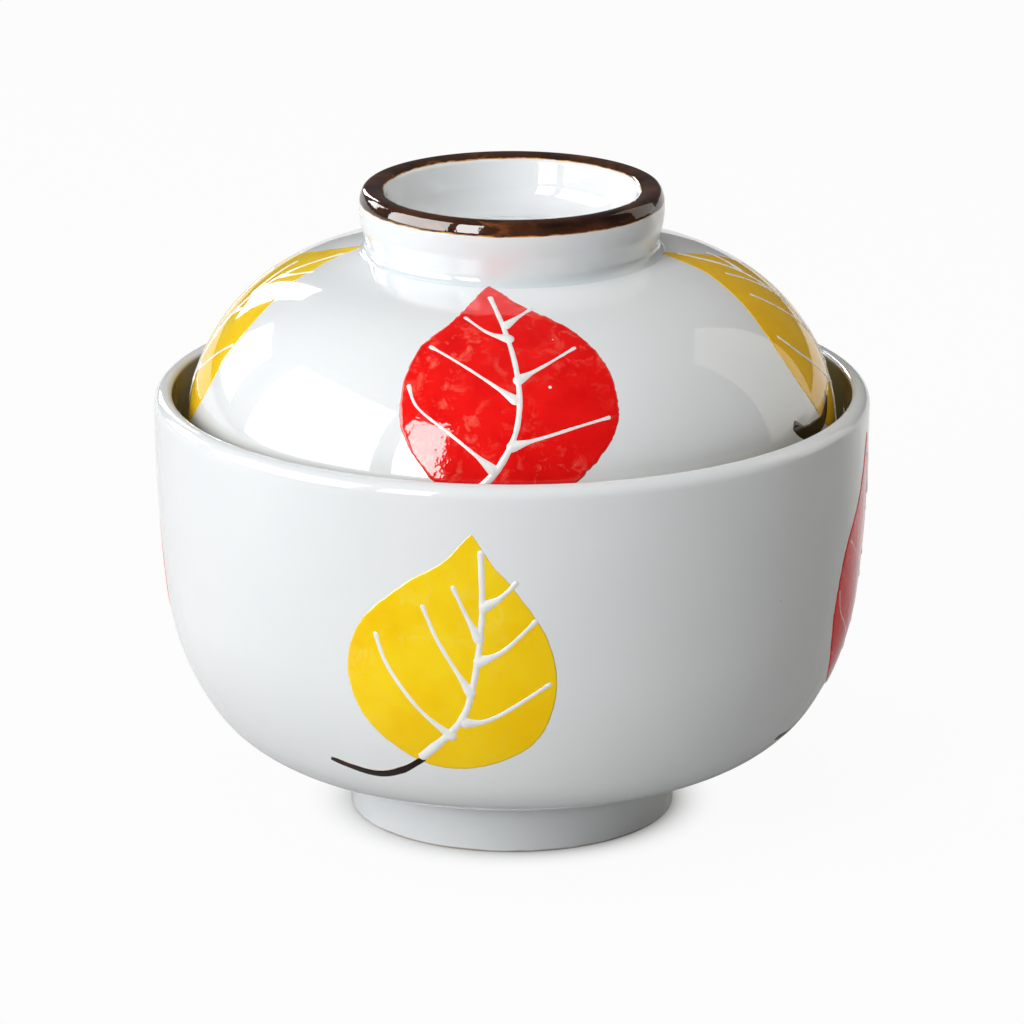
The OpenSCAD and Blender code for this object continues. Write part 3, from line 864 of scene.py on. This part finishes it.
stems = {
    "bowl": {
        "yellow": [(-4.6, -17.2), (-9, -20.5), (-14, -22), (-21.5, -20.5)],
        "red": [(-4.6, -17), (-9, -20.5), (-14, -22), (-21.5, -20.5)],
        "half": 0.62,
    },
    "lid": {
        "yellow": [(-8, -10), (-12.5, -10.8), (-15.5, -10.5), (-19.5, -8.8), (-22.2, -7), (-24, -4.2)],
        "red": [(-5, -16), (-10, -17), (-14, -18), (-19, -17)],
        "half": 0.95,
    },
    "thick": 0.05,
}
sheet = {
    "slope": 0.25, "inner": 0.35, "rings": 20, "under": 0.2,
    "mapSize": 44.0, "hub": (0.0, -2.0), "perSpan": 14,
}
stroke = {"blunt": 0.75, "bluntStep": 0.12, "thin": 0.62, "swell": 0.48, "uneven": 0.15}


def raggedOutline(points, amount, seed):
    # an edge left by a brush: small uneven steps, square to the line
    line = smoothLine(points, sheet["perSpan"])
    if (line[0] - line[-1]).length < 0.01:
        line = line[:-1]
    ragged = []
    for i, p in enumerate(line):
        way = (line[(i + 1) % len(line)] - line[i - 1]).normalized()
        spot = Vector((p.x, p.y, seed))
        push = noise.noise(spot * 1.7) + 0.6 * noise.noise(spot * 0.45)
        ragged.append(p + Vector((-way.y, way.x)) * (push * amount))
    return ragged


def closeSheet(bm, scale):
    # a map for the brush marks, then an underside that sinks into the glaze
    leafMap = bm.loops.layers.uv.new("leafMap")
    for face in bm.faces:
        for loop in face.loops:
            loop[leafMap].uv = loop.vert.co.xy / (sheet["mapSize"] * scale) + Vector((0.5, 0.5))
    bmesh.ops.recalc_face_normals(bm, faces=bm.faces)
    if sum(face.normal.z for face in bm.faces) < 0:
        bmesh.ops.reverse_faces(bm, faces=bm.faces)
    bmesh.ops.solidify(bm, geom=bm.faces[:], thickness=sheet["under"])


def paintSheet(outline, scale, thick):
    # a thin layer of colour, flat, with a soft edge, made of rings about a hub
    bm = bmesh.new()
    edge = bm.verts.layers.float.new("edge")
    hub = Vector(sheet["hub"])
    steps = [(0.0, 0.0, 0.0), (sheet["slope"], 1.0, 0.5), (sheet["slope"] + sheet["inner"], 1.0, 1.0)]
    rings = []
    for inset, lift, reach in steps:
        rings.append([])
        for p in outline:
            way = p - hub
            spot = (hub + way * (1 - inset / way.length)) * scale
            rings[-1].append(bm.verts.new((spot.x, spot.y, thick * lift)))
            rings[-1][-1][edge] = reach
    for k in range(1, sheet["rings"]):
        rings.append([])
        for vert in rings[2]:
            spot = hub * scale + (vert.co.xy - hub * scale) * (1 - k / sheet["rings"])
            rings[-1].append(bm.verts.new((spot.x, spot.y, thick)))
            rings[-1][-1][edge] = 1.0
    for outer, inner in zip(rings, rings[1:]):
        for i in range(len(outer)):
            bm.faces.new((outer[i - 1], outer[i], inner[i], inner[i - 1]))
    middle = bm.verts.new((hub.x * scale, hub.y * scale, thick))
    middle[edge] = 1.0
    for i in range(len(outline)):
        bm.faces.new((rings[-1][i - 1], rings[-1][i], middle))
    closeSheet(bm, scale)
    return bm


def layOn(bm, wrap, turn, lean):
    bmesh.ops.rotate(bm, cent=(0, 0, 0), matrix=Matrix.Rotation(math.radians(lean), 3, "Z"), verts=bm.verts)
    for vert in bm.verts:
        vert.co = wrap(vert.co.x, vert.co.y, vert.co.z, math.radians(turn))
    bmesh.ops.recalc_face_normals(bm, faces=bm.faces)


def brushStroke(points, half, scale, thick):
    # one stroke of a loaded brush that swells a little in the middle and ends blunt
    bm = bmesh.new()
    edge = bm.verts.layers.float.new("edge")
    line = smoothLine(points, sheet["perSpan"])
    last = len(line) - 1
    profile = [(-1, 0.0, 0.0), (-0.8, 0.7, 0.4), (-0.45, 1.0, 1.0), (0, 1.0, 1.0),
               (0.45, 1.0, 1.0), (0.8, 0.7, 0.4), (1, 0.0, 0.0)]
    rows = []
    for i, p in enumerate(line):
        way = (line[min(i + 1, last)] - line[max(i - 1, 0)]).normalized()
        t = i / last
        blunt = min(1.0, stroke["blunt"] + min(i, last - i) * stroke["bluntStep"])
        full = math.sin(math.pi * min(1.0, 0.12 + 0.75 * t))
        width = half * blunt * (stroke["thin"] + stroke["swell"] * full)
        width *= 1 + stroke["uneven"] * noise.noise(Vector((p.x * 0.5, p.y * 0.5, 4.0)))
        rows.append([])
        for across, lift, reach in profile:
            spot = (p + Vector((-way.y, way.x)) * (width * across)) * scale
            atEnd = i in (0, last)
            rows[-1].append(bm.verts.new((spot.x, spot.y, 0.0 if atEnd else thick * lift)))
            rows[-1][-1][edge] = 0.0 if atEnd else reach
    for before, after in zip(rows, rows[1:]):
        for k in range(len(profile) - 1):
            bm.faces.new((before[k], after[k], after[k + 1], before[k + 1]))
    closeSheet(bm, scale)
    return bm


vein = {
    "root": 0.95, "rootFade": 2.0, "run": 0.40, "tip": 0.36, "bulb": 0.46, "bulbFade": 0.9,
    "midribRoot": 0.82, "midribFade": 6.0, "midrib": 0.60, "midribTip": 0.50, "midribBulb": 0.1,
    "high": 0.34, "grid": 0.15, "sink": 1.45, "under": 0.25, "atSides": 0.78, "uneven": 0.12, "perSpan": 40,
}


def trailSlip(points, isMidrib, seed):
    # one squeezed line: a blob where it starts, thin along its run, a small bulb at its end
    line = smoothLine(points, vein["perSpan"])
    lengths = [0.0]
    for a, b in zip(line, line[1:]):
        lengths.append(lengths[-1] + (b - a).length)
    total = lengths[-1]
    dots = []
    for p, length in zip(line, lengths):
        left = total - length
        if isMidrib:
            fade = math.exp(-((length / vein["midribFade"]) ** 2))
            radius = vein["midrib"] + (vein["midribRoot"] - vein["midrib"]) * fade
            radius += (vein["midribTip"] - vein["midrib"]) * length / total
            bulb = vein["midribBulb"]
        else:
            fade = math.exp(-((length / vein["rootFade"]) ** 1.5))
            radius = vein["run"] + (vein["root"] - vein["run"]) * fade
            radius += (vein["tip"] - vein["run"]) * length / total
            bulb = vein["bulb"] - vein["tip"]
        radius += bulb * math.exp(-((left / vein["bulbFade"]) ** 2))
        radius *= 1 + vein["uneven"] * noise.noise(Vector((p.x * 0.5, p.y * 0.5, seed)))
        dots.append((p, radius))
    return dots


def trailVeins(drawing, scale, seed, width):
    # the slip's height over a fine grid: each dot of a line piles up a low round cap
    step = vein["grid"]
    heights = {}
    for k, points in enumerate([drawing["midrib"]] + drawing["veins"]):
        for p, fullRadius in trailSlip(points, k == 0, seed + k):
            radius = fullRadius * width
            x, y = p.x * scale, p.y * scale
            reach = vein["sink"] * radius
            for i in range(math.ceil((x - reach) / step), math.floor((x + reach) / step) + 1):
                for j in range(math.ceil((y - reach) / step), math.floor((y + reach) / step) + 1):
                    away = math.hypot(i * step - x, j * step - y) / radius
                    height = vein["high"] * radius * (1 - away ** 2)
                    if away < vein["sink"] and height > heights.get((i, j), -1.0):
                        heights[i, j] = height
    bm = bmesh.new()
    verts = {key: bm.verts.new((key[0] * step, key[1] * step, z)) for key, z in heights.items()}
    for i, j in heights:
        corners = [verts.get(key) for key in ((i, j), (i + 1, j), (i + 1, j + 1), (i, j + 1))]
        if None not in corners:
            bm.faces.new(corners)
    loose = [vert for vert in bm.verts if not vert.link_faces]
    bmesh.ops.delete(bm, geom=loose, context="VERTS")
    bmesh.ops.smooth_vert(
        bm, verts=bm.verts, factor=0.5, use_axis_x=False, use_axis_y=False, use_axis_z=True,
    )
    bmesh.ops.solidify(bm, geom=bm.faces[:], thickness=vein["under"])
    return bm


enamels = {
    "yellow": makeEnamel("yellowEnamel", yellowEnamel),
    "red": makeEnamel("redEnamel", redEnamel),
    # painted shade: the lid's right leaf gets the deeper, more orange copy
    ("lid", "right"): makeEnamel("fullYellow", fullYellow),
}
slipFinish = makeSlip("whiteSlip", slip)
stemFinish = makeIronBrown("stemBrown", stemBrown)


def paintLeaf(body, side, colour, place, wrap, seed):
    turn, lean, scale = place
    drawing = leafDrawings[colour]
    title = body + "{}" + side.capitalize()
    outline = raggedOutline(drawing["outline"], drawing["ragged"], seed)
    patch = paintSheet(outline, scale, drawing["thick"])
    layOn(patch, wrap, turn, lean)
    finish = enamels.get((body, side), enamels[colour])
    makePiece(title.format("Leaf"), patch, finish, body, f"{body}_leaf_{side}")
    width = vein["atSides"] if side in ("right", "left") else 1.0
    veins = trailVeins(drawing, scale, seed, width)
    layOn(veins, wrap, turn, lean)
    makePiece(title.format("Veins"), veins, slipFinish, body, f"{body}_veins_{side}")
    stem = brushStroke(stems[body][colour], stems[body]["half"], scale, stems["thick"])
    layOn(stem, wrap, turn, lean)
    makePiece(title.format("Stem"), stem, stemFinish, body, f"{body}_stem_{side}")


for index, sideName in enumerate(leafPlaces["sides"]):
    bowlColour, lidColour = (("yellow", "red"), ("red", "yellow"))[index % 2]
    paintLeaf("bowl", sideName, bowlColour, leafPlaces["bowl"][index], onBowl, 10.0 * index)
    paintLeaf("lid", sideName, lidColour, leafPlaces["lid"][index], onLid, 10.0 * index + 5.0)
    print("leaves:", sideName, "painted")


# floor: pale, with a soft shadow under the bowl, partly painted: close to the foot the camera sees more of
# the lit floor
floorSettings = {
    "half": 4.0, "pale": 0.66, "near": 0.0275, "far": 0.0375, "whiteNear": 0.22, "whiteFar": 0.95,
    "falloff": 3.0, "leftShare": 0.7, "dimTo": -0.08, "brightFrom": 0.12,
    "mirroredLow": 0.04, "mirroredHigh": 0.85,
}


def layFloor(s):
    bm = bmesh.new()
    bmesh.ops.create_grid(bm, x_segments=1, y_segments=1, size=s["half"])
    mesh = bpy.data.meshes.new("studioFloor")
    bm.to_mesh(mesh)
    bm.free()
    material = bpy.data.materials.new("studioFloor")
    material.use_nodes = True
    tree = material.node_tree
    tree.nodes.clear()
    lit = tree.nodes.new("ShaderNodeBsdfDiffuse")
    lit.inputs["Color"].default_value = (s["pale"], s["pale"], s["pale"], 1.0)
    glow = tree.nodes.new("ShaderNodeEmission")
    path = tree.nodes.new("ShaderNodeLightPath")
    place = tree.nodes.new("ShaderNodeTexCoord").outputs["Object"]
    away = tree.nodes.new("ShaderNodeVectorMath")
    away.operation = "LENGTH"
    tree.links.new(place, away.inputs["Vector"])
    # painted shadow: close to the foot less of the white glow and more of the lit floor is seen
    close = addRange(tree, away.outputs["Value"], s["near"], s["far"], 1.0, 0.0)
    close = addMath(tree, "POWER", close, s["falloff"])
    white = addRange(tree, close, 0.0, 1.0, s["whiteFar"], s["whiteNear"])
    seen = addMath(tree, "MULTIPLY", path.outputs["Is Camera Ray"], white)
    # painted reflection: to glossy rays the floor glows, bright on the left and behind and dim in front,
    # and the glaze mirrors it
    split = splitVector(tree, place)
    right = addMath(tree, "MULTIPLY", split["X"], s["leftShare"])
    behind = addMath(tree, "SUBTRACT", split["Y"], right)
    bright = (s["dimTo"], s["brightFrom"], s["mirroredLow"], s["mirroredHigh"])
    mirrored = addRange(tree, behind, *bright, True)
    level = mixValues(tree, path.outputs["Is Glossy Ray"], 1.0, mirrored)
    tree.links.new(level, glow.inputs["Strength"])
    seen = addMath(tree, "MAXIMUM", seen, path.outputs["Is Glossy Ray"])
    mix = tree.nodes.new("ShaderNodeMixShader")
    out = tree.nodes.new("ShaderNodeOutputMaterial")
    tree.links.new(seen, mix.inputs["Fac"])
    tree.links.new(lit.outputs["BSDF"], mix.inputs[1])
    tree.links.new(glow.outputs["Emission"], mix.inputs[2])
    tree.links.new(mix.outputs["Shader"], out.inputs["Surface"])
    mesh.materials.append(material)
    floor = bpy.data.objects.new("studioFloor", mesh)
    scene.collection.objects.link(floor)


layFloor(floorSettings)


# light: tall soft windows on the left, a dim pale wall on the right, a little from above
# lit is the level on matt colours, mirrored the level that the glaze reflects
lamps = {
    "leftWindow": {
        "azimuth": -70.0, "distance": 1.3, "across": (-0.75, 0.36), "up": (0.02, 0.90),
        "lit": 1.45, "mirrored": 8.0,
    },
    "backWindow": {
        "azimuth": -130.0, "distance": 1.6, "across": (-0.17, 0.16), "up": (0.08, 0.50),
        "lit": 5.8, "mirrored": 7.0,
    },
    "frontWindow": {
        "azimuth": -35.0, "distance": 1.5, "across": (-0.12, 0.17), "up": (0.12, 0.80),
        "lit": 13.6, "mirrored": 12.5,
    },
    "rearWindow": {
        "azimuth": -157.0, "distance": 1.7, "across": (-0.07, 0.07), "up": (0.10, 0.55),
        "lit": 0.0, "mirrored": 12.0,
    },
    "rightWall": {
        "azimuth": 118.0, "distance": 1.8, "across": (-0.29, 0.30), "up": (-0.02, 1.05),
        "lit": 2.2, "mirrored": 0.9, "colour": (1.0, 0.94, 0.83),
    },
}
ceiling = {"place": (-0.1, -0.3, 1.5), "size": 0.9, "lit": 3.6}
aimHeight = 0.08
paneGap = 0.1
worldLevel = {
    "ambient": 0.01, "seen": 1.0, "front": -0.5, "back": 0.9, "mirroredFront": 0.03, "mirroredBack": 0.12,
}


def addLamp(name, width, height, level, place, look, isMirrored, colour=(1.0, 1.0, 1.0)):
    data = bpy.data.lights.new(name, "AREA")
    data.color = colour
    data.shape = "RECTANGLE"
    data.size = width
    data.size_y = height
    data.energy = level * math.pi * width * height
    lamp = bpy.data.objects.new(name, data)
    lamp.location = place
    lamp.rotation_euler = look.to_track_quat("-Z", "Y").to_euler()
    lamp.visible_glossy = isMirrored
    lamp.visible_diffuse = not isMirrored
    scene.collection.objects.link(lamp)


def hangLamp(name, s, kind, distance):
    # across and up are tangents seen from the bowl, so the pane looks the same at any distance
    turn = math.radians(s["azimuth"])
    outward = Vector((math.sin(turn), -math.cos(turn), 0))
    sideways = Vector((math.cos(turn), math.sin(turn), 0))
    shift = sideways * (sum(s["across"]) / 2) + Vector((0, 0, sum(s["up"]) / 2))
    place = (outward + shift) * distance + Vector((0, 0, aimHeight))
    width = (s["across"][1] - s["across"][0]) * distance
    height = (s["up"][1] - s["up"][0]) * distance
    colour = s.get("colour", (1.0, 1.0, 1.0))
    addLamp(name + kind.capitalize(), width, height, s[kind], place, -outward, kind == "mirrored", colour)


def lightWorld(s):
    world = bpy.data.worlds.new("studio")
    world.use_nodes = True
    scene.world = world
    tree = world.node_tree
    tree.nodes.clear()
    path = tree.nodes.new("ShaderNodeLightPath")
    direction = tree.nodes.new("ShaderNodeTexCoord").outputs["Generated"]
    levels = (s["front"], s["back"], s["mirroredFront"], s["mirroredBack"])
    mirrored = addRange(tree, splitVector(tree, direction)["Y"], *levels, True)
    shown = addMath(tree, "MAXIMUM", path.outputs["Is Glossy Ray"], path.outputs["Is Transmission Ray"])
    level = mixValues(tree, shown, s["ambient"], mirrored)
    level = mixValues(tree, path.outputs["Is Camera Ray"], level, s["seen"])
    background = tree.nodes.new("ShaderNodeBackground")
    out = tree.nodes.new("ShaderNodeOutputWorld")
    tree.links.new(level, background.inputs["Strength"])
    tree.links.new(background.outputs["Background"], out.inputs["Surface"])


for lampName, lampSettings in lamps.items():
    # the mirrored pane hangs in front of the lit one, which would hide it
    if lampSettings["lit"] > 0:
        hangLamp(lampName, lampSettings, "lit", lampSettings["distance"] + paneGap)
    hangLamp(lampName, lampSettings, "mirrored", lampSettings["distance"])
down = Vector((0, 0, -1))
addLamp("ceiling", ceiling["size"], ceiling["size"], ceiling["lit"], ceiling["place"], down, False)
lightWorld(worldLevel)
scene.view_settings.view_transform = "Standard"
print("studio: floor, lamps and world ready")
